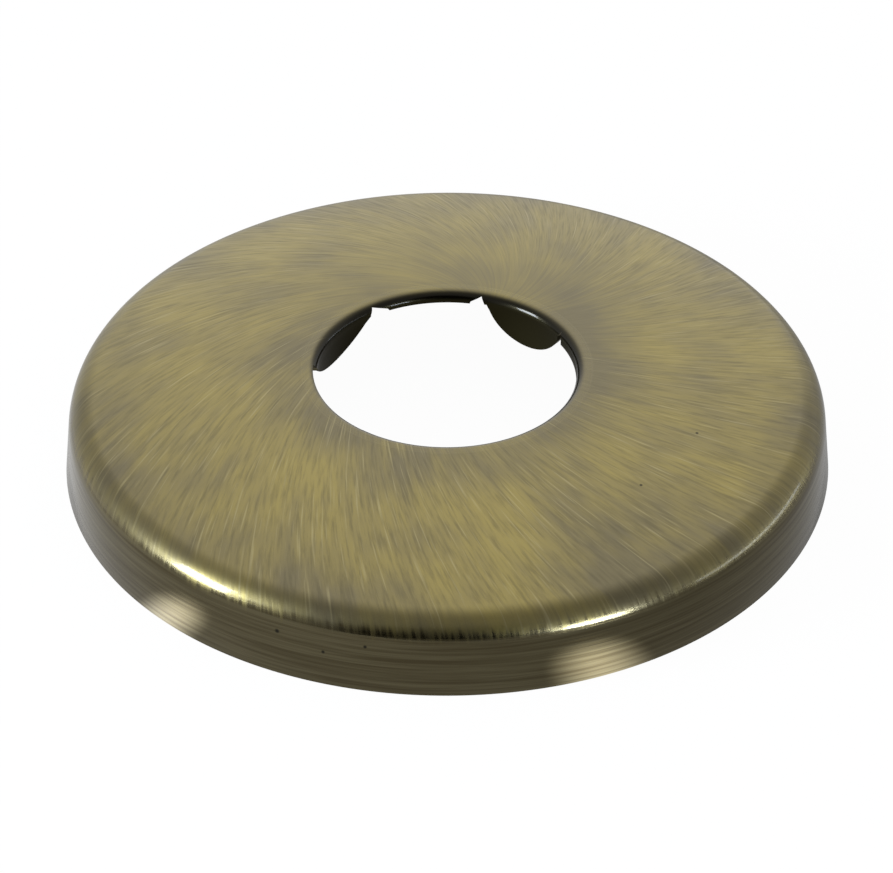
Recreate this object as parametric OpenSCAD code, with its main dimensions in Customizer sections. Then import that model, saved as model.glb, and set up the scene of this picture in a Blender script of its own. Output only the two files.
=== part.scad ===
// Shower arm flange pressed from one disc of sheet brass: a short skirt, a tight
// corner, a shallow dome, and a pipe hole whose edge is rolled down and slit into
// spring tongues. Some of the tongues are gone and leave only a stub of the roll.
// Millimetres, +Z up, the origin on the pipe's axis in the plane of the wall.

/* [Shell] */
// Outside diameter across the bottom rim
flange_d = 66.7; // [64:0.1:70]
// Height from the bottom rim to the top of the rolled edge
flange_h = 9.8; // [9.4:0.1:10.4]
// Thickness of the sheet
sheet_t = 0.7; // [0.5:0.05:0.8]
// Height of the straight part of the skirt
skirt_h = 4.7; // [4.2:0.1:5]
// How far the skirt leans in over its height
skirt_taper = 0.4; // [0.1:0.05:0.8]
// Outside radius of the corner between the skirt and the dome
corner_r = 3; // [2.6:0.1:3.4]
// Outside radius of the dome
dome_r = 100; // [90:1:130]
// Size of the broken edge at the foot of the skirt
rim_bevel = 0.15; // [0.05:0.05:0.25]

/* [Pipe hole] */
// Diameter of the hole inside the rolled edge
hole_d = 22.4; // [22:0.1:23]
// Outside radius of the rolled edge
roll_r = 0.9; // [0.85:0.05:1.2]
// Height of the straight collar that the tongues grow from
collar_h = 0.5; // [0.4:0.05:0.7]

/* [Tongues] */
// Directions of the slits round the hole, counted from +X, in degrees
slit_dirs = [29, 74.5, 125, 178, 231, 284, 336]; // rising, 40 to 60 apart
// Width of a slit
slit_w = 0.6; // [0.4:0.05:0.8]
// Drop below the top at which a slit has its full width
slit_drop = 0.8; // [0.7:0.05:0.9]
// Drop below the top of a slit's pointed end
slit_point = 0.25; // [0.15:0.05:0.4]
// Reach of each slit's point along the edge that a lost tongue has left
slit_flares = [0.3, 1, 1.6, 0.3, 0.3, 0.3, 0.3]; // each [0.3:0.1:2.5]
// Drop of the tongue's tip after each slit, below the top, 0 where the tongue is gone
tip_drops = [3.6, 0, 2.8, 0, 3.3, 3.3, 0]; // each 0 or [2.6:0.05:3.7]
// Tilt of each tongue's round tip, in degrees
tip_tilts = [3, 0, 0, 0, 0, 0, 0]; // each [-4:0.5:4]
// Turn of the roll that a lost tongue has left, from the top of the roll, in degrees
stub_turns = [0, 95, 0, 32, 0, 0, 116]; // each 0 or [25:1:120]
// Lean of a tongue towards the pipe, in degrees
tongue_lean = 12; // [4:1:14]

/* [Hidden] */
$fn = 180;
// Steps that each arc of the section is drawn in
corner_n = 9;
dome_n = 12;
roll_n = 10;
// Overshoot of the cutting shapes, as a length and in degrees
eps = 0.2;
overlap = 1;
// Drop below a slit's full width at which a tongue's round tip starts
ease = 0.15;

flange_r = flange_d / 2;
hole_r = hole_d / 2;
place_n = len(slit_dirs);
skirt_a = atan(skirt_taper / skirt_h);

// Centres of the three arcs of the section, each tangent to the next
skirt_top = [flange_r - skirt_taper, skirt_h];
corner_c = skirt_top - corner_r * [cos(skirt_a), sin(skirt_a)];
roll_c = [hole_r + roll_r, flange_h - roll_r];
dome_c = lower_meeting(corner_c, dome_r - corner_r, roll_c, dome_r - roll_r);
corner_a = atan2(corner_c[1] - dome_c[1], corner_c[0] - dome_c[0]);
roll_a = atan2(roll_c[1] - dome_c[1], roll_c[0] - dome_c[0]);

// Heights of the collar's foot and of the lowest point of the tongue strip
collar_z = roll_c[1] - collar_h;
strip_z = flange_h - max(tip_drops) - eps;
strip_in = (collar_z - strip_z) * tan(tongue_lean);
// Reach of the cutters, from inside the tongues' tips to just past the collar
cut_in = hole_r - 5 * sheet_t;
cut_out = hole_r + sheet_t + eps;

// The lower of the two points at distance ra from a and rb from b
function lower_meeting(a, ra, b, rb) =
    let (gap = norm(b - a),
         along = (ra * ra - rb * rb + gap * gap) / (2 * gap),
         side = sqrt(ra * ra - along * along),
         dir = (b - a) / gap)
    a + along * dir + side * [dir[1], -dir[0]] * sign(dir[0]);

// Points of an arc of radius r about c from angle a0 to a1, after its first point
function arc(c, r, a0, a1, n) =
    [for (k = [1:n]) let (a = a0 + (a1 - a0) * k / n) c + r * [cos(a), sin(a)]];

// One face of the bent sheet, set back from the outside, from the skirt to the roll's end
function face(back) = concat(
    [skirt_top - back * [cos(skirt_a), sin(skirt_a)]],
    arc(corner_c, corner_r - back, skirt_a, corner_a, corner_n),
    arc(dome_c, dome_r - back, corner_a, roll_a, dome_n),
    arc(roll_c, roll_r - back, roll_a, 180, roll_n));

function reversed(v) = [for (k = [len(v) - 1:-1:0]) v[k]];

// Half section of the pressed sheet, before the hole's edge is slit
module section() {
    foot = [[flange_r - sheet_t / cos(skirt_a), 0], [flange_r - rim_bevel, 0],
            [flange_r - rim_bevel * tan(skirt_a), rim_bevel]];
    strip = [[hole_r, collar_z], [hole_r - strip_in, strip_z],
             [hole_r + sheet_t - strip_in, strip_z], [hole_r + sheet_t, collar_z]];
    polygon(concat(foot, face(0), strip, reversed(face(sheet_t))));
}

// Stands a flat cutter up across the hole's edge in direction a
module across(a) {
    rotate([0, 0, a])
        translate([cut_in, 0, 0])
            rotate([90, 0, 90])
                linear_extrude(cut_out - cut_in)
                    children();
}

// The slit before place k, pointed at the top and flared where a tongue is gone
module slit(k) {
    low = strip_z - eps;
    high = flange_h - slit_drop;
    after = tip_drops[k] > 0 ? slit_w / 2 : slit_flares[k];
    before = tip_drops[(k + place_n - 1) % place_n] > 0 ? slit_w / 2 : slit_flares[k];
    across(slit_dirs[k])
        polygon([[-before, low], [after, low], [after, high],
                 [0, flange_h - slit_point], [-before, high]]);
}

// What is trimmed away below the round tip of a tongue that spans the given angle
module tongue_trim(a, span, drop, tilt) {
    wide = hole_r * sin(span / 2);
    half = wide - slit_w / 2;
    top = flange_h - slit_drop - ease / 2;
    rise = drop - slit_drop - ease;
    tip_r = (half * half + rise * rise) / (2 * rise);
    across(a)
        difference() {
            translate([-wide, strip_z - eps])
                square([2 * wide, top - strip_z + eps]);
            translate([-tip_r * sin(tilt), flange_h - drop + tip_r * cos(tilt)])
                circle(tip_r);
        }
}

// What is missing where a tongue is gone: the strip, and the roll past the given turn
module stub_trim(a, span, turn) {
    low = strip_z - eps - roll_c[1];
    reach = 2 * roll_r;
    rotate([0, 0, a - span / 2])
        rotate_extrude(angle = span)
            translate(roll_c)
                polygon([[0, 0], reach * [-sin(turn), cos(turn)], [-reach, low], [0, low]]);
}

module flange() {
    color([0.53, 0.5, 0.37])
        difference() {
            rotate_extrude()
                section();
            for (k = [0:place_n - 1]) {
                next = slit_dirs[(k + 1) % place_n] + (k == place_n - 1 ? 360 : 0);
                span = next - slit_dirs[k];
                middle = (next + slit_dirs[k]) / 2;
                slit(k);
                if (tip_drops[k] > 0)
                    tongue_trim(middle, span, tip_drops[k], tip_tilts[k]);
                else
                    stub_trim(middle, span + overlap, stub_turns[k]);
            }
        }
}

flange();
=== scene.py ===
"""A shower arm flange pressed from sheet brass, dressed in brushed antique brass."""

import math

import bmesh
import bpy
from mathutils import Matrix, Vector


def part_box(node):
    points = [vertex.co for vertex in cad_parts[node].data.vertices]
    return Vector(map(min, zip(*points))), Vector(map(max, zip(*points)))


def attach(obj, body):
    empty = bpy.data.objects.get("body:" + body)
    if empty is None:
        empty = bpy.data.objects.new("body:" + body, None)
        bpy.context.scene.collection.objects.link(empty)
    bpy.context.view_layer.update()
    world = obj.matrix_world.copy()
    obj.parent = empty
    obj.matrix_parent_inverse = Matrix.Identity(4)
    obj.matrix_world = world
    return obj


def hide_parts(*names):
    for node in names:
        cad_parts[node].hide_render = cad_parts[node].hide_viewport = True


bl_info = {
    "name": "Shower arm flange",
    "version": (1, 0, 0),
    "blender": (4, 5, 0),
    "location": "3D View > Sidebar > Flange",
    "description": "Models a pressed brass wall flange and the stage it is shown on",
    "category": "Object",
}

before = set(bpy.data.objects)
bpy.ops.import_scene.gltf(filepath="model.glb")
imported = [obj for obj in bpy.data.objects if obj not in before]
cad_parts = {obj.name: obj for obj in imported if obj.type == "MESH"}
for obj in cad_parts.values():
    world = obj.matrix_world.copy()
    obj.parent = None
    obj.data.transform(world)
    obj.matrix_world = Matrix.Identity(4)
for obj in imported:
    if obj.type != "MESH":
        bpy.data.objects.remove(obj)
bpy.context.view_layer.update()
LOW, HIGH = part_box("flange")

MM = 0.001
WELD = 1e-6  # vertices closer than this are one vertex, in metres
PLACES = 7  # slits round the hole, and places for a tongue between them


def linear(code):
    """The linear colour of an sRGB hex value."""
    parts = [int(code[i:i + 2], 16) / 255 for i in (0, 2, 4)]
    return [p / 12.92 if p <= 0.04045 else ((p + 0.055) / 1.055) ** 2.4 for p in parts]


# Settings


def length(name, about, value):
    """A length in metres, given here in millimetres."""
    return bpy.props.FloatProperty(
        name=name, description=about, default=value * MM, min=0, precision=5, unit="LENGTH")


def angle(name, about, value):
    """An angle, given here in degrees."""
    return bpy.props.FloatProperty(
        name=name, description=about, default=math.radians(value), unit="ROTATION")


def each_place(name, about, values, factor, unit):
    """One value for each slit or tongue round the hole."""
    return bpy.props.FloatVectorProperty(
        name=name, description=about, size=PLACES, default=[v * factor for v in values],
        precision=5, unit=unit)


def colour(name, about, code):
    """A colour of the finish or the stage."""
    return bpy.props.FloatVectorProperty(
        name=name, description=about, size=3, default=linear(code), min=0, max=1,
        subtype="COLOR")


class FlangeShape(bpy.types.PropertyGroup):
    outside_d: length("Outside diameter", "Diameter across the bottom rim",
                      (HIGH.x - LOW.x) / MM)
    height: length("Height", "From the bottom rim to the top of the rolled edge",
                   (HIGH.z - LOW.z) / MM)
    sheet_t: length("Sheet", "Thickness of the sheet", 0.7)
    skirt_h: length("Skirt height", "Height of the straight part of the skirt", 4.7)
    skirt_taper: length("Skirt taper", "How far the skirt leans in over its height", 0.4)
    corner_r: length("Corner radius", "Outside radius between the skirt and the dome", 3)
    dome_r: length("Dome radius", "Outside radius of the dome", 100)
    rim_bevel: length("Rim bevel", "Size of the broken edge at the skirt's foot", 0.15)
    hole_d: length("Hole diameter", "Diameter of the hole inside the rolled edge", 22.4)
    roll_r: length("Roll radius", "Outside radius of the rolled edge", 0.9)
    collar_h: length("Collar height", "Straight collar that the tongues grow from", 0.5)
    slit_w: length("Slit width", "Width of a slit", 0.6)
    slit_drop: length("Slit drop", "Drop at which a slit has its full width", 0.8)
    slit_point: length("Slit point", "Drop of a slit's pointed end", 0.25)
    ease: length("Ease", "Drop below a slit's full width where a round tip starts", 0.15)
    lean: angle("Tongue lean", "Lean of a tongue towards the pipe", 12)
    slit_dirs: each_place("Slit directions", "Directions of the slits, from +X",
                          [29, 74.5, 125, 178, 231, 284, 336],
                          math.radians(1), "ROTATION")
    slit_flares: each_place("Slit flares", "Reach of a slit beside a lost tongue",
                            [0.3, 1, 1.6, 0.3, 0.3, 0.3, 0.3], MM, "LENGTH")
    tip_drops: each_place("Tip drops", "Drop of each tongue's tip, 0 where it is gone",
                          [3.6, 0, 2.8, 0, 3.3, 3.3, 0], MM, "LENGTH")
    tip_tilts: each_place("Tip tilts", "Tilt of each tongue's round tip",
                          [3, 0, 0, 0, 0, 0, 0], math.radians(1), "ROTATION")
    stub_turns: each_place("Stub turns", "Turn of the roll that a lost tongue has left",
                           [0, 95, 0, 32, 0, 0, 116], math.radians(1), "ROTATION")


class FlangeFinish(bpy.types.PropertyGroup):
    gold: colour("Brushed brass", "Brass where the brush has cut through", "9D8F54")
    grey: colour("Veiled brass", "Brass still under the grey of the oxide", "7A7153")
    oxide: colour("Oxide", "Brown oxide left between the strokes", "5C553B")
    bright: colour("Stroke", "Freshly cut brush stroke", "B8AD80")
    skirt: colour("Skirt", "Brass of the skirt, polished round", "857C5C")
    skirt_dark: colour("Skirt oxide", "Oxide left along the skirt", "665B3C")
    # Rolled edge: near black, painted as shade where the roll turns into the hole
    rolled: colour("Rolled edge", "Dark oxide that the brush leaves on the roll", "29261A")
    # Inside: dark brown painted as shade on the collar and tongues inside the hole
    inside: colour("Inside", "Oxidised brass of the unbrushed inside", "2D2917")
    pit: colour("Pit", "Tiny dark pit in the plating", "201D14")


class FlangeStage(bpy.types.PropertyGroup):
    floor: colour("Floor", "Colour of the floor", "F2F2F2")
    elevation: angle("Elevation", "Camera's height above the horizon", 36.05)
    roll: angle("Roll", "Camera's turn about its own axis", -0.165)
    distance: length("Distance", "From the camera to the middle of the base", 475)
    lens: bpy.props.FloatProperty(
        name="Lens", description="Focal length in millimetres", default=218.49,
        min=1, subtype="DISTANCE_CAMERA")


# Modelling


def primitive(kind, name, **settings):
    """Adds a primitive with nothing else selected, and puts its place in its mesh."""
    bpy.ops.object.select_all(action="DESELECT")
    getattr(bpy.ops.mesh, f"primitive_{kind}_add")(**settings)
    piece = bpy.context.object
    piece.name = piece.data.name = name
    bpy.ops.object.transform_apply(location=True, rotation=True, scale=True)
    return piece


def pick(piece, kind, wanted):
    """In edit mode, selects just the verts, edges or faces that wanted says yes to."""
    bpy.ops.mesh.select_mode(type={"verts": "VERT", "edges": "EDGE", "faces": "FACE"}[kind])
    bpy.ops.mesh.select_all(action="DESELECT")
    mesh = bmesh.from_edit_mesh(piece.data)
    chosen = [e for e in getattr(mesh, kind) if wanted(e)]
    if not chosen:
        raise RuntimeError(f"nothing to select among the {kind} of {piece.name}")
    for e in chosen:
        e.select_set(True)
    mesh.select_flush_mode()
    bmesh.update_edit_mesh(piece.data)


def place_corners(piece, corners):
    """Moves a plane's four corners, in the order of its mesh, to these (x, z)."""
    for k, (x, z) in enumerate(corners):
        bpy.ops.mesh.select_mode(type="VERT")
        pick(piece, "verts", lambda v: v.index == k)
        at = piece.data.vertices[k].co
        bpy.ops.transform.translate(value=(x - at.x, -at.y, z - at.z))


def close_up():
    """Welds doubles and turns the faces outwards."""
    bpy.ops.mesh.select_all(action="SELECT")
    bpy.ops.mesh.remove_doubles(threshold=WELD)
    bpy.ops.mesh.normals_make_consistent(inside=False)


def turned(piece, direction):
    """Turns a piece about the hole's axis and puts the turn in its mesh."""
    bpy.ops.object.select_all(action="DESELECT")
    piece.select_set(True)
    bpy.context.view_layer.objects.active = piece
    piece.rotation_euler = (0, 0, direction)
    bpy.ops.object.transform_apply(location=True, rotation=True, scale=True)
    return piece


def cut(piece, cutter):
    """Takes the cutter away from the piece, and deletes the cutter."""
    bpy.ops.object.select_all(action="DESELECT")
    piece.select_set(True)
    bpy.context.view_layer.objects.active = piece
    bpy.ops.object.modifier_add(type="BOOLEAN")
    made = piece.modifiers[-1]
    made.operation = "DIFFERENCE"
    made.solver = "EXACT"
    made.object = cutter
    bpy.ops.object.modifier_apply(modifier=made.name)
    bpy.data.objects.remove(cutter)


class Section:
    """The bent sheet's half section, worked out from the sizes as (x, z) in metres."""

    def __init__(self, size):
        self.flange_r, self.hole_r = size.outside_d / 2, size.hole_d / 2
        self.skirt_a = math.atan(size.skirt_taper / size.skirt_h)
        self.across = Vector((math.cos(self.skirt_a), math.sin(self.skirt_a)))
        self.skirt_top = Vector((self.flange_r - size.skirt_taper, size.skirt_h))
        self.corner_c = self.skirt_top - size.corner_r * self.across
        self.roll_c = Vector((self.hole_r + size.roll_r, size.height - size.roll_r))
        near, far = size.dome_r - size.corner_r, size.dome_r - size.roll_r
        gap = (self.roll_c - self.corner_c).length
        along = (near ** 2 - far ** 2 + gap ** 2) / (2 * gap)
        toward = (self.roll_c - self.corner_c) / gap
        side = Vector((toward.y, -toward.x)) * math.copysign(1, toward.x)
        self.dome_c = (self.corner_c + along * toward
                       + math.sqrt(near ** 2 - along ** 2) * side)
        self.corner_a = math.atan2(*reversed(self.corner_c - self.dome_c))
        self.roll_a = math.atan2(*reversed(self.roll_c - self.dome_c))
        self.collar_z = self.roll_c.y - size.collar_h
        self.strip_z = size.height - max(size.tip_drops) - 0.2 * MM
        self.strip_in = (self.collar_z - self.strip_z) * math.tan(size.lean)
        self.cut_in = self.hole_r - 5 * size.sheet_t
        self.cut_out = self.hole_r + size.sheet_t + 0.2 * MM
        self.low = self.strip_z - 0.2 * MM


def bend(centre, turn, steps):
    """Bends the selected end of the sheet about a centre, up and towards the hole."""
    bpy.ops.mesh.spin(steps=steps, angle=turn, center=(centre.x, 0, centre.y),
                      axis=(0, 1, 0))


def pressed_shell(size, sec):
    """The sheet bent from the skirt's foot to the tongues, turned round the hole."""
    shell = primitive("plane", "flange_shell", size=size.sheet_t,
                      location=(sec.flange_r, 0, 0), rotation=(math.pi / 2, 0, 0))
    bpy.ops.object.mode_set(mode="EDIT")
    wall = size.sheet_t / math.cos(sec.skirt_a)
    inner_top = sec.skirt_top - size.sheet_t * sec.across
    place_corners(shell, [(sec.flange_r - wall, 0), (sec.flange_r, 0),
                          inner_top, sec.skirt_top])
    pick(shell, "edges", lambda e: min(v.co.z for v in e.verts) > size.skirt_h / 2)
    bend(sec.corner_c, sec.corner_a - sec.skirt_a, 18)
    bend(sec.dome_c, sec.roll_a - sec.corner_a, 16)
    bend(sec.roll_c, math.pi - sec.roll_a, 14)
    for step in ((0, 0, -size.collar_h),
                 (-sec.strip_in, 0, sec.strip_z - sec.collar_z)):
        bpy.ops.mesh.extrude_region_move(TRANSFORM_OT_translate={"value": step})
    bpy.ops.mesh.select_mode(type="FACE")
    bpy.ops.mesh.select_all(action="SELECT")
    bpy.ops.mesh.region_to_loop()
    bpy.ops.mesh.select_all(action="INVERT")
    bpy.ops.mesh.delete(type="EDGE_FACE")
    bpy.ops.mesh.select_all(action="SELECT")
    bpy.ops.mesh.spin(steps=288, angle=2 * math.pi, center=(0, 0, 0), axis=(0, 0, 1))
    close_up()
    rim = sec.flange_r - 2 * WELD
    pick(shell, "edges", lambda e: all(v.co.z < WELD and v.co.xy.length > rim
                                       for v in e.verts))
    bpy.ops.mesh.bevel(offset=size.rim_bevel, offset_type="OFFSET", segments=2,
                       affect="EDGES")
    bpy.ops.object.mode_set(mode="OBJECT")
    return shell


def block(name, sec, y0, y1, z1):
    """A cutting block across the hole's edge, from below the tongues up to z1."""
    return primitive(
        "cube", name, size=1,
        location=((sec.cut_in + sec.cut_out) / 2, (y0 + y1) / 2, (sec.low + z1) / 2),
        scale=(sec.cut_out - sec.cut_in, y1 - y0, z1 - sec.low))


def slit_cutter(size, sec, k):
    """A slit, pointed at the top and flared where a tongue is gone."""
    flare = size.slit_flares[k]
    after = size.slit_w / 2 if size.tip_drops[k] > 0 else flare
    before = size.slit_w / 2 if size.tip_drops[k - 1] > 0 else flare
    full = size.height - size.slit_drop
    cutter = block(f"slit_cutter_{k}", sec, -before, after, full)
    bpy.ops.object.mode_set(mode="EDIT")
    pick(cutter, "faces", lambda f: f.normal.z > 0.9)
    rise = size.slit_drop - size.slit_point
    bpy.ops.mesh.extrude_region_move(TRANSFORM_OT_translate={"value": (0, 0, rise)})
    for side, shift in ((-1, before), (1, -after)):
        pick(cutter, "verts", lambda v: v.co.z > full + WELD and v.co.y * side > 0)
        bpy.ops.transform.translate(value=(0, shift, 0))
    close_up()
    bpy.ops.object.mode_set(mode="OBJECT")
    return turned(cutter, size.slit_dirs[k])


def tongue_cutter(size, sec, k, middle, span):
    """What is trimmed away below the round tip of a tongue."""
    drop, tilt = size.tip_drops[k], size.tip_tilts[k]
    wide = sec.hole_r * math.sin(span / 2)
    half = wide - size.slit_w / 2
    # The block ends inside the slits, past the tongue's edges on the sheet's outer face
    reach = wide + size.slit_w / 4
    rise = drop - size.slit_drop - size.ease
    tip_r = (half ** 2 + rise ** 2) / (2 * rise)
    cutter = block(f"tongue_cutter_{k}", sec, -reach, reach,
                   size.height - size.slit_drop - size.ease / 2)
    tip = primitive(
        "cylinder", "tip", vertices=256, radius=tip_r, depth=2 * sec.hole_r,
        rotation=(0, math.pi / 2, 0),
        location=(sec.hole_r, -tip_r * math.sin(tilt),
                  size.height - drop + tip_r * math.cos(tilt)))
    cut(cutter, tip)
    return turned(cutter, middle)


def stub_cutter(size, sec, k, middle, span):
    """What is missing where a tongue is gone: the strip, and the roll past its stub."""
    turn, reach = size.stub_turns[k], 2 * size.roll_r
    x, z = sec.roll_c
    cutter = primitive("plane", f"stub_cutter_{k}", size=size.roll_r,
                       location=(x, 0, z), rotation=(math.pi / 2, 0, 0))
    bpy.ops.object.mode_set(mode="EDIT")
    place_corners(cutter, [(x - reach, sec.low), (x, sec.low),
                           (x - reach * math.sin(turn), z + reach * math.cos(turn)),
                           (x, z)])
    bpy.ops.mesh.select_all(action="SELECT")
    bpy.ops.mesh.spin(steps=48, angle=span, center=(0, 0, 0), axis=(0, 0, -1))
    close_up()
    bpy.ops.object.mode_set(mode="OBJECT")
    return turned(cutter, middle - span / 2)


def cut_hole_edge(shell, size, sec):
    """Slits the rolled edge, and trims the tongues and the stubs of the lost ones."""
    for k in range(PLACES):
        start = size.slit_dirs[k]
        end = size.slit_dirs[k + 1] if k + 1 < PLACES else size.slit_dirs[0] + math.tau
        middle, span = (start + end) / 2, end - start
        cut(shell, slit_cutter(size, sec, k))
        if size.tip_drops[k] > 0:
            cut(shell, tongue_cutter(size, sec, k, middle, span))
        else:
            cut(shell, stub_cutter(size, sec, k, middle, span + math.radians(1)))


# Materials


def node(tree, kind, inputs=None, **settings):
    """Adds a node with its settings, and its inputs as values or as links."""
    made = tree.nodes.new(kind)
    for key, value in settings.items():
        setattr(made, key, value)
    for key, value in (inputs or {}).items():
        if isinstance(value, bpy.types.NodeSocket):
            tree.links.new(value, made.inputs[key])
        else:
            made.inputs[key].default_value = value
    return made


def rgba(value):
    """A colour with its alpha."""
    return (*value, 1)


# Places of the tiny dark pits, in millimetres, and their radii
PITS = ((-14.14, -29.81, 4.17, 0.26), (-10.32, -31.42, 3.22, 0.20),
        (-6.83, -32.26, 4.39, 0.20), (21.33, -8.50, 8.80, 0.17),
        (16.32, -15.96, 8.82, 0.17))


def brushed_antique_brass(finish):
    """Antique brass: oxidised brown, then brushed by hand and lacquered.

    The eye sees a satin, khaki-gold metal. Fine strokes fan out from a point behind the
    hole with a swirl and end as a comb at the corner. The skirt is polished round.
    """
    mat = bpy.data.materials.new("brushed_antique_brass")
    mat.use_nodes = True
    t = mat.node_tree
    t.nodes.clear()
    spot = node(t, "ShaderNodeTexCoord").outputs["Object"]
    parts = node(t, "ShaderNodeSeparateXYZ", {0: spot}).outputs
    flat = node(t, "ShaderNodeVectorMath", {0: spot, 1: (1, 1, 0)}, operation="MULTIPLY")
    reach = node(t, "ShaderNodeVectorMath", {0: flat.outputs[0]}, operation="LENGTH")

    # Strokes: level lines of noise on a circle about the brush's centre, which turns with
    # the logarithm of the distance, so a stroke leans 25 degrees from the radius
    fan = node(t, "ShaderNodeMapping", {"Vector": flat.outputs[0],
                                        "Location": (-0.0022, -0.0085, 0)})
    far = node(t, "ShaderNodeVectorMath", {0: fan.outputs[0]}, operation="LENGTH")
    round_ = node(t, "ShaderNodeVectorMath", {0: fan.outputs[0]}, operation="NORMALIZE")
    log = node(t, "ShaderNodeMath", {0: far.outputs["Value"], 1: math.e},
               operation="LOGARITHM")
    swirl = node(t, "ShaderNodeMath", {0: log.outputs[0], 1: -math.tan(math.radians(25))},
                 operation="MULTIPLY")
    turned_ = node(t, "ShaderNodeVectorRotate",
                   {"Vector": round_.outputs[0], "Angle": swirl.outputs[0]},
                   rotation_type="Z_AXIS")
    depth = node(t, "ShaderNodeCombineXYZ", {"Z": far.outputs["Value"]})
    strokes = []
    # spacing in mm at 24 mm from the brush's centre, and length in mm
    for spacing, long_, detail in ((0.24, 2.6, 3), (0.95, 7, 2), (0.20, 5, 1)):
        k = 24 / spacing
        wide = node(t, "ShaderNodeVectorMath",
                    {0: turned_.outputs[0], 1: (k, k, 0)}, operation="MULTIPLY")
        deep = node(t, "ShaderNodeVectorMath",
                    {0: depth.outputs[0], 1: (0, 0, 1000 / long_), 2: wide.outputs[0]},
                    operation="MULTIPLY_ADD")
        strokes.append(node(t, "ShaderNodeTexNoise",
                            {"Vector": deep.outputs[0], "Scale": 1, "Detail": detail,
                             "Roughness": 0.6}).outputs["Fac"])
    fine, broad, cuts = strokes
    # They are fainter close to the brush's centre, behind the hole
    fade = node(t, "ShaderNodeMapRange", {"Value": far.outputs["Value"],
                                          "From Min": 0.003, "From Max": 0.016})
    fine, cuts = (node(t, "ShaderNodeMix", {0: fade.outputs[0], 2: 0.5, 3: each},
                       data_type="FLOAT").outputs[0] for each in (fine, cuts))

    # Patches of thinner and thicker oxide, about 8 mm across
    patch = node(t, "ShaderNodeTexNoise",
                 {"Vector": spot, "Scale": 120, "Detail": 2, "Roughness": 0.5})
    # Most gold between the hole's edge and the corner
    ring = node(t, "ShaderNodeMapRange",
                {"Value": reach.outputs["Value"], "From Min": 0.013, "From Max": 0.020,
                 "To Min": -0.22, "To Max": 0.06}, interpolation_type="SMOOTHSTEP")
    outer = node(t, "ShaderNodeMapRange",
                 {"Value": reach.outputs["Value"], "From Min": 0.027, "From Max": 0.031,
                  "To Min": 0, "To Max": -0.14}, interpolation_type="SMOOTHSTEP")
    veil = node(t, "ShaderNodeMath", {0: patch.outputs["Fac"], 1: ring.outputs[0]},
                operation="ADD")
    veil = node(t, "ShaderNodeMath", {0: veil.outputs[0], 1: outer.outputs[0]},
                operation="ADD")
    # One browner patch at the front, to the right
    stain = node(t, "ShaderNodeVectorMath", {0: spot, 1: (0.0165, -0.0225, 0.0075)},
                 operation="DISTANCE")
    stain = node(t, "ShaderNodeMapRange",
                 {"Value": stain.outputs["Value"], "From Min": 0.002, "From Max": 0.012,
                  "To Min": -0.20, "To Max": 0}, interpolation_type="SMOOTHSTEP")
    veil = node(t, "ShaderNodeMath", {0: veil.outputs[0], 1: stain.outputs[0]},
                operation="ADD")
    veil = node(t, "ShaderNodeMath", {0: broad, 1: 0.5, 2: veil.outputs[0]},
                operation="MULTIPLY_ADD")
    veil = node(t, "ShaderNodeMapRange", {"Value": veil.outputs[0], "From Min": 0.45,
                                          "From Max": 0.95})
    tone = node(t, "ShaderNodeMix", {0: veil.outputs[0], 6: rgba(finish.grey),
                                     7: rgba(finish.gold)}, data_type="RGBA")
    left = node(t, "ShaderNodeMapRange", {"Value": fine, "From Min": 0.30, "From Max": 0.54,
                                          "To Min": 0.36, "To Max": 0})
    tone = node(t, "ShaderNodeMix", {0: left.outputs[0], 6: tone.outputs[2],
                                     7: rgba(finish.oxide)}, data_type="RGBA")
    fresh = node(t, "ShaderNodeMapRange", {"Value": cuts, "From Min": 0.60,
                                           "From Max": 0.76, "To Min": 0, "To Max": 0.4})
    tone = node(t, "ShaderNodeMix", {0: fresh.outputs[0], 6: tone.outputs[2],
                                     7: rgba(finish.bright)}, data_type="RGBA")

    # Skirt: lines round the flange, 0.25 mm apart and about 12 mm long
    lines = node(t, "ShaderNodeMapping", {"Vector": spot, "Scale": (80, 80, 4000)})
    polish = node(t, "ShaderNodeTexNoise", {"Vector": lines.outputs[0], "Scale": 1,
                                            "Detail": 3, "Roughness": 0.6})
    worn = node(t, "ShaderNodeMapRange", {"Value": polish.outputs["Fac"],
                                          "From Min": 0.35, "From Max": 0.65})
    side = node(t, "ShaderNodeMix", {0: worn.outputs[0], 6: rgba(finish.skirt_dark),
                                     7: rgba(finish.skirt)}, data_type="RGBA")

    # The strokes end as a comb on the corner, about 5.8 mm above the wall
    comb = node(t, "ShaderNodeMath", {0: fine, 1: 0.0022, 2: parts["Z"]},
                operation="MULTIPLY_ADD")
    top = node(t, "ShaderNodeMapRange",
               {"Value": comb.outputs[0], "From Min": 0.0063, "From Max": 0.0075},
               interpolation_type="SMOOTHSTEP")
    skin = node(t, "ShaderNodeMix", {0: top.outputs[0], 6: side.outputs[2],
                                     7: tone.outputs[2]}, data_type="RGBA")

    # Painted shade: the rolled edge is painted near black where it turns down into the hole
    edge = node(t, "ShaderNodeMapRange",
                {"Value": reach.outputs["Value"], "From Min": 0.0114, "From Max": 0.0121,
                 "To Min": 1, "To Max": 0}, interpolation_type="SMOOTHSTEP")
    skin = node(t, "ShaderNodeMix", {0: edge.outputs[0], 6: skin.outputs[2],
                                     7: rgba(finish.rolled)}, data_type="RGBA")
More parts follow.
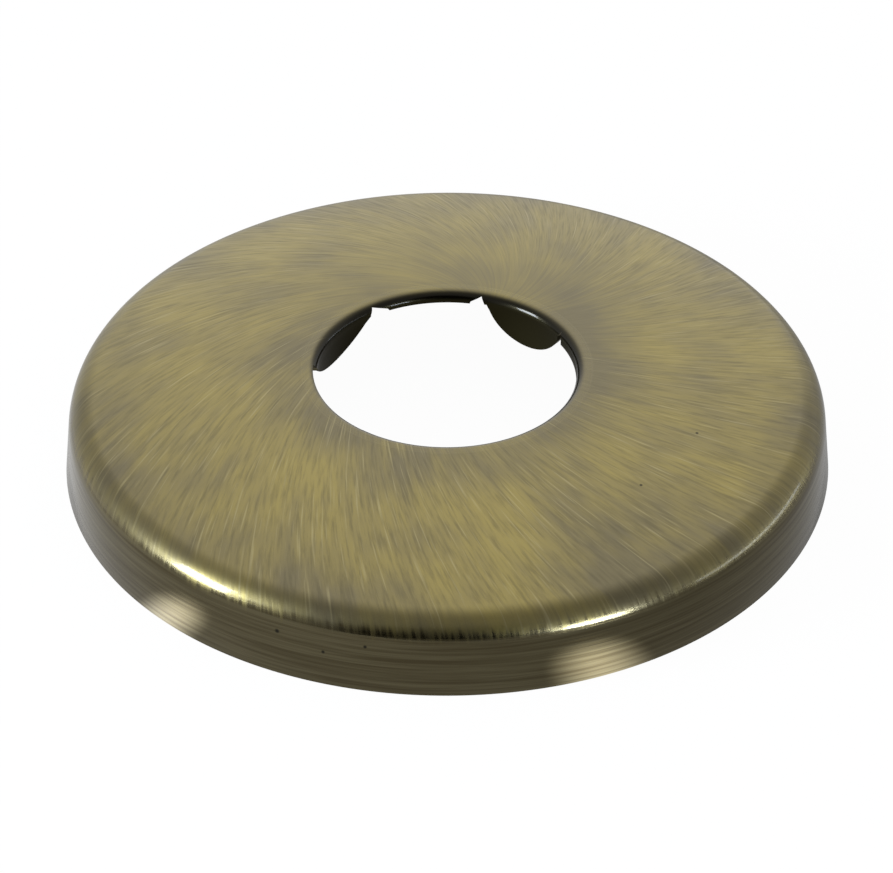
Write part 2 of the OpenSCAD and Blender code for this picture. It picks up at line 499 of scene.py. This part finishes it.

    # Painted shade: inside the hole the collar and tongues are painted dark brown for the
    # shade there, and they are dull
    shaded_bore = node(t, "ShaderNodeMapRange",
                {"Value": reach.outputs["Value"], "From Min": 0.0120, "From Max": 0.0125,
                 "To Min": 1, "To Max": 0}, interpolation_type="SMOOTHSTEP")
    sunk = node(t, "ShaderNodeMapRange", {"Value": parts["Z"], "From Min": 0.0090,
                                          "From Max": 0.0094, "To Min": 1, "To Max": 0},
                interpolation_type="SMOOTHSTEP")
    shaded_bore = node(t, "ShaderNodeMath", {0: shaded_bore.outputs[0], 1: sunk.outputs[0]},
                operation="MULTIPLY")
    skin = node(t, "ShaderNodeMix", {0: shaded_bore.outputs[0], 6: skin.outputs[2],
                                     7: rgba(finish.inside)}, data_type="RGBA")
    for x, y, z, r in PITS:
        gap = node(t, "ShaderNodeVectorMath",
                   {0: spot, 1: (x * MM, y * MM, z * MM)}, operation="DISTANCE")
        hit = node(t, "ShaderNodeMapRange",
                   {"Value": gap.outputs["Value"], "From Min": 0.4 * r * MM,
                    "From Max": r * MM, "To Min": 0.9, "To Max": 0})
        skin = node(t, "ShaderNodeMix", {0: hit.outputs[0], 6: skin.outputs[2],
                                         7: rgba(finish.pit)}, data_type="RGBA")

    # Brushed satin on the top, smoother on the polished skirt
    satin = node(t, "ShaderNodeMapRange", {"Value": fine, "From Min": 0.3, "From Max": 0.7,
                                           "To Min": 0.46, "To Max": 0.34})
    gloss = node(t, "ShaderNodeMapRange", {"Value": polish.outputs["Fac"],
                                           "From Min": 0.3, "From Max": 0.7,
                                           "To Min": 0.22, "To Max": 0.13})
    rough = node(t, "ShaderNodeMix", {0: top.outputs[0], 2: gloss.outputs[0],
                                      3: satin.outputs[0]}, data_type="FLOAT")
    # The rolled edge of the hole is smooth from the press
    roll = node(t, "ShaderNodeMapRange",
                {"Value": reach.outputs["Value"], "From Min": 0.0124, "From Max": 0.0136,
                 "To Min": 0.24, "To Max": 1}, interpolation_type="SMOOTHSTEP")
    rough = node(t, "ShaderNodeMath", {0: rough.outputs[0], 1: roll.outputs[0]},
                 operation="MINIMUM")
    rough = node(t, "ShaderNodeMix", {0: shaded_bore.outputs[0], 2: rough.outputs[0], 3: 0.55},
                 data_type="FLOAT")
    # Stroke marks a few hundredths of a millimetre deep, drawn deeper than real
    mark = node(t, "ShaderNodeMix", {0: top.outputs[0], 2: polish.outputs["Fac"],
                                     3: fine}, data_type="FLOAT")
    bump = node(t, "ShaderNodeBump", {"Height": mark.outputs[0], "Strength": 0.35,
                                      "Distance": 0.00004})
    # The lacquer doesn't reach into the hole
    lacquer = node(t, "ShaderNodeMapRange", {"Value": shaded_bore.outputs[0], "To Min": 0.5,
                                             "To Max": 0})
    shader = node(t, "ShaderNodeBsdfPrincipled",
                  {"Base Color": skin.outputs[2], "Roughness": rough.outputs[0],
                   "Normal": bump.outputs[0], "Metallic": 1.0,
                   "Coat Weight": lacquer.outputs[0],
                   "Coat Roughness": 0.10})
    node(t, "ShaderNodeOutputMaterial", {"Surface": shader.outputs[0]})
    return mat


def raw_antique_brass(finish):
    """Antique brass as it left the bath: dull brown, clouded, unbrushed."""
    mat = bpy.data.materials.new("unbrushed_antique_brass")
    mat.use_nodes = True
    t = mat.node_tree
    t.nodes.clear()
    spot = node(t, "ShaderNodeTexCoord").outputs["Object"]
    # Clouds of the bath, about 5 mm across
    cloud = node(t, "ShaderNodeTexNoise", {"Vector": spot, "Scale": 200, "Detail": 4})
    # The darker cloud tone is the same dark brown that is painted as shade inside the hole
    tone = node(t, "ShaderNodeMix", {0: cloud.outputs["Fac"], 6: rgba(finish.inside),
                                     7: rgba(finish.skirt)}, data_type="RGBA")
    rough = node(t, "ShaderNodeMapRange", {"Value": cloud.outputs["Fac"],
                                           "To Min": 0.40, "To Max": 0.60})
    shader = node(t, "ShaderNodeBsdfPrincipled",
                  {"Base Color": tone.outputs[2], "Roughness": rough.outputs[0],
                   "Metallic": 1.0})
    node(t, "ShaderNodeOutputMaterial", {"Surface": shader.outputs[0]})
    return mat


def white_floor(colour_):
    """Pale matt board, white to the camera with a trace of the object's shadow; painted
    shade and light in reflections.
    """
    mat = bpy.data.materials.new("pale_board")
    mat.use_nodes = True
    t = mat.node_tree
    t.nodes.clear()
    ray = node(t, "ShaderNodeLightPath").outputs
    spot = node(t, "ShaderNodeTexCoord").outputs["Object"]
    parts = node(t, "ShaderNodeSeparateXYZ", {0: spot}).outputs
    matt = node(t, "ShaderNodeBsdfDiffuse", {"Color": rgba(colour_)})
    lit = node(t, "ShaderNodeEmission", {"Color": (1, 1, 1, 1), "Strength": 1.02})
    seen = node(t, "ShaderNodeMixShader", {0: 0.95, 1: matt.outputs[0], 2: lit.outputs[0]})
    # In reflections the board shows painted shade: darker on the camera's side, as in a
    # room, and towards the right
    shade = node(t, "ShaderNodeMapRange",
                 {"Value": parts["Y"], "From Min": -0.034, "From Max": 0.012,
                  "To Min": 0.36, "To Max": 0.62}, interpolation_type="SMOOTHSTEP")
    lean = node(t, "ShaderNodeMapRange",
                {"Value": parts["X"], "From Min": -0.035, "From Max": 0.035,
                 "To Min": 1.04, "To Max": 0.64}, interpolation_type="SMOOTHSTEP")
    glow = node(t, "ShaderNodeMath", {0: shade.outputs[0], 1: lean.outputs[0]},
                operation="MULTIPLY").outputs[0]
    # Two painted pools of light on the board, seen only in reflections, put bright glows
    # low on the skirt
    for at, size_, add in (((-0.0246, -0.0238, 0), 0.0042, 2.1),
                           ((0.0136, -0.0317, 0), 0.0055, 2.1)):
        gap = node(t, "ShaderNodeVectorMath", {0: spot, 1: at}, operation="DISTANCE")
        near = node(t, "ShaderNodeMapRange",
                    {"Value": gap.outputs["Value"], "From Min": 0, "From Max": size_,
                     "To Min": add, "To Max": 0}, interpolation_type="SMOOTHSTEP")
        glow = node(t, "ShaderNodeMath", {0: glow, 1: near.outputs[0]},
                    operation="ADD").outputs[0]
    mirrored = node(t, "ShaderNodeEmission", {"Color": (1, 1, 1, 1), "Strength": glow})
    out = node(t, "ShaderNodeMixShader", {0: ray["Is Glossy Ray"], 1: matt.outputs[0],
                                          2: mirrored.outputs[0]})
    out = node(t, "ShaderNodeMixShader", {0: ray["Is Camera Ray"], 1: out.outputs[0],
                                          2: seen.outputs[0]})
    node(t, "ShaderNodeOutputMaterial", {"Surface": out.outputs[0]})
    return mat


def studio_world():
    """White to the camera, a soft even light, and a studio's shape in reflections."""
    world = bpy.data.worlds.new("studio")
    world.use_nodes = True
    t = world.node_tree
    t.nodes.clear()
    ray = node(t, "ShaderNodeLightPath").outputs
    way = node(t, "ShaderNodeTexCoord").outputs["Generated"]
    parts = node(t, "ShaderNodeSeparateXYZ", {0: way}).outputs
    wide = node(t, "ShaderNodeMath", {0: parts["X"]}, operation="ABSOLUTE")
    # A tall white panel behind, from the horizon to near the zenith
    behind = node(t, "ShaderNodeMapRange",
                  {"Value": parts["Y"], "From Min": -0.30, "From Max": 0.42,
                   "To Min": 0, "To Max": 1}, interpolation_type="SMOOTHSTEP")
    middle = node(t, "ShaderNodeMapRange",
                  {"Value": wide.outputs[0], "From Min": 0.24, "From Max": 0.60,
                   "To Min": 1, "To Max": 0.35}, interpolation_type="SMOOTHSTEP")
    panel = node(t, "ShaderNodeMath", {0: behind.outputs[0], 1: middle.outputs[0]},
                 operation="MULTIPLY")
    level = node(t, "ShaderNodeMath", {0: panel.outputs[0], 1: 0.76, 2: 0.27},
                 operation="MULTIPLY_ADD")
    # The dark room behind the camera, low at the front
    toward = node(t, "ShaderNodeVectorMath", {0: way, 1: (0.05, -0.99, 0.10)},
                  operation="DOT_PRODUCT")
    dark = node(t, "ShaderNodeMapRange",
                {"Value": toward.outputs["Value"], "From Min": 0.72, "From Max": 0.90,
                 "To Min": 1, "To Max": 0.01}, interpolation_type="SMOOTHSTEP")
    level = node(t, "ShaderNodeMath", {0: level.outputs[0], 1: dark.outputs[0]},
                 operation="MULTIPLY")
    plain = node(t, "ShaderNodeBackground", {"Color": (1, 1, 1, 1), "Strength": 0.55})
    shaped = node(t, "ShaderNodeBackground", {"Color": (1, 1, 1, 1),
                                              "Strength": level.outputs[0]})
    white = node(t, "ShaderNodeBackground", {"Color": (1, 1, 1, 1), "Strength": 1.0})
    out = node(t, "ShaderNodeMixShader", {0: ray["Is Glossy Ray"], 1: plain.outputs[0],
                                          2: shaped.outputs[0]})
    out = node(t, "ShaderNodeMixShader", {0: ray["Is Camera Ray"], 1: out.outputs[0],
                                          2: white.outputs[0]})
    node(t, "ShaderNodeOutputWorld", {"Surface": out.outputs[0]})
    return world


# Operators


class FLANGE_OT_shell(bpy.types.Operator):
    """Models the pressed flange and gives it its finish"""
    bl_idname = "flange.shell"
    bl_label = "Pressed flange"

    def execute(self, context):
        size, finish = context.scene.flange_shape, context.scene.flange_finish
        sec = Section(size)
        shell = pressed_shell(size, sec)
        cut_hole_edge(shell, size, sec)
        bpy.ops.object.select_all(action="DESELECT")
        shell.select_set(True)
        context.view_layer.objects.active = shell
        shell.data.materials.clear()
        shell.data.materials.append(brushed_antique_brass(finish))
        shell.data.materials.append(raw_antique_brass(finish))
        bpy.ops.object.mode_set(mode="EDIT")
        close_up()

        def is_inside(face):
            at, out = face.calc_center_median(), face.normal
            away = Vector((at.x, at.y, 0)).normalized()
            under = out.z < -0.05 and at.z > MM
            walled = at.xy.length > 25 * MM and out.dot(away) < -0.3
            behind = at.xy.length < 13 * MM and out.dot(away) > 0.3 and at.z < 9 * MM
            return under or walled or behind

        pick(shell, "faces", is_inside)
        shell.active_material_index = 1
        bpy.ops.object.material_slot_assign()
        bpy.ops.object.mode_set(mode="OBJECT")
        bpy.ops.object.shade_smooth_by_angle(angle=math.radians(30))
        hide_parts("flange")
        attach(shell, "root")
        return {"FINISHED"}


class FLANGE_OT_stage(bpy.types.Operator):
    """Lays the floor, hangs the lamps and sets up the camera"""
    bl_idname = "flange.stage"
    bl_label = "Stage"

    def execute(self, context):
        stage = context.scene.flange_stage
        floor = primitive("plane", "floor", size=6)
        floor.data.materials.append(white_floor(stage.floor))
        context.scene.world = studio_world()
        # Two softboxes low at the sides, and a long low strip on the right, each with its
        # direction, distance, width, height and watts
        for name, way, far, wide, tall, watts in (
                ("softbox_left", (-0.89, -0.30, 0.30), 0.6, 0.18, 0.18, 2.6),
                ("softbox_right", (0.63, -0.77, 0.06), 0.6, 0.16, 0.07, 1.5),
                ("strip_right", (0.98, 0.05, 0.05), 0.6, 0.50, 0.05, 0.3)):
            lamp = bpy.data.lights.new(name, "AREA")
            lamp.shape, lamp.size, lamp.size_y = "RECTANGLE", wide, tall
            lamp.energy, lamp.color = watts, linear("DCE8FF")
            holder = bpy.data.objects.new(name, lamp)
            context.scene.collection.objects.link(holder)
            toward = Vector(way).normalized()
            holder.location = toward * far
            holder.rotation_euler = toward.to_track_quat("Z", "Y").to_euler()
        self.set_camera(context, stage)
        return {"FINISHED"}

    def set_camera(self, context, stage):
        """Puts the camera where the photograph was taken from."""
        e, r = stage.elevation, stage.roll
        back = Vector((0, -math.cos(e), math.sin(e)))
        right = Vector((1, 0, 0))
        up = back.cross(right)
        right, up = (right * math.cos(r) + up * math.sin(r),
                     up * math.cos(r) - right * math.sin(r))
        data = bpy.data.cameras.new("camera")
        data.lens, data.sensor_width = stage.lens, 36
        data.clip_start, data.clip_end = 0.01, 20
        camera = bpy.data.objects.new("camera", data)
        context.scene.collection.objects.link(camera)
        turn = Matrix((right, up, back)).transposed().to_4x4()
        # The photograph's middle lies a little to one side of the axis
        place = back * stage.distance - right * 0.071 * MM + up * 1.88 * MM
        camera.matrix_world = Matrix.Translation(place) @ turn
        context.scene.camera = camera


class FLANGE_PT_panel(bpy.types.Panel):
    """Sizes, colours and steps of the flange"""
    bl_idname = "FLANGE_PT_panel"
    bl_label = "Shower arm flange"
    bl_space_type = "VIEW_3D"
    bl_region_type = "UI"
    bl_category = "Flange"

    def draw(self, context):
        for settings, step in ((context.scene.flange_shape, "flange.shell"),
                               (context.scene.flange_finish, None),
                               (context.scene.flange_stage, "flange.stage")):
            box = self.layout.box()
            for key in settings.__annotations__:
                box.prop(settings, key)
            if step:
                box.operator(step)


CLASSES = (FlangeShape, FlangeFinish, FlangeStage, FLANGE_OT_shell, FLANGE_OT_stage,
           FLANGE_PT_panel)


def register():
    for c in CLASSES:
        bpy.utils.register_class(c)
    bpy.types.Scene.flange_shape = bpy.props.PointerProperty(type=FlangeShape)
    bpy.types.Scene.flange_finish = bpy.props.PointerProperty(type=FlangeFinish)
    bpy.types.Scene.flange_stage = bpy.props.PointerProperty(type=FlangeStage)


def unregister():
    del bpy.types.Scene.flange_stage
    del bpy.types.Scene.flange_finish
    del bpy.types.Scene.flange_shape
    for c in reversed(CLASSES):
        bpy.utils.unregister_class(c)


def main():
    """Builds the flange and its stage."""
    register()
    bpy.context.scene.view_settings.view_transform = "Standard"
    bpy.ops.flange.shell()
    bpy.ops.flange.stage()


if __name__ == "__main__":
    main()
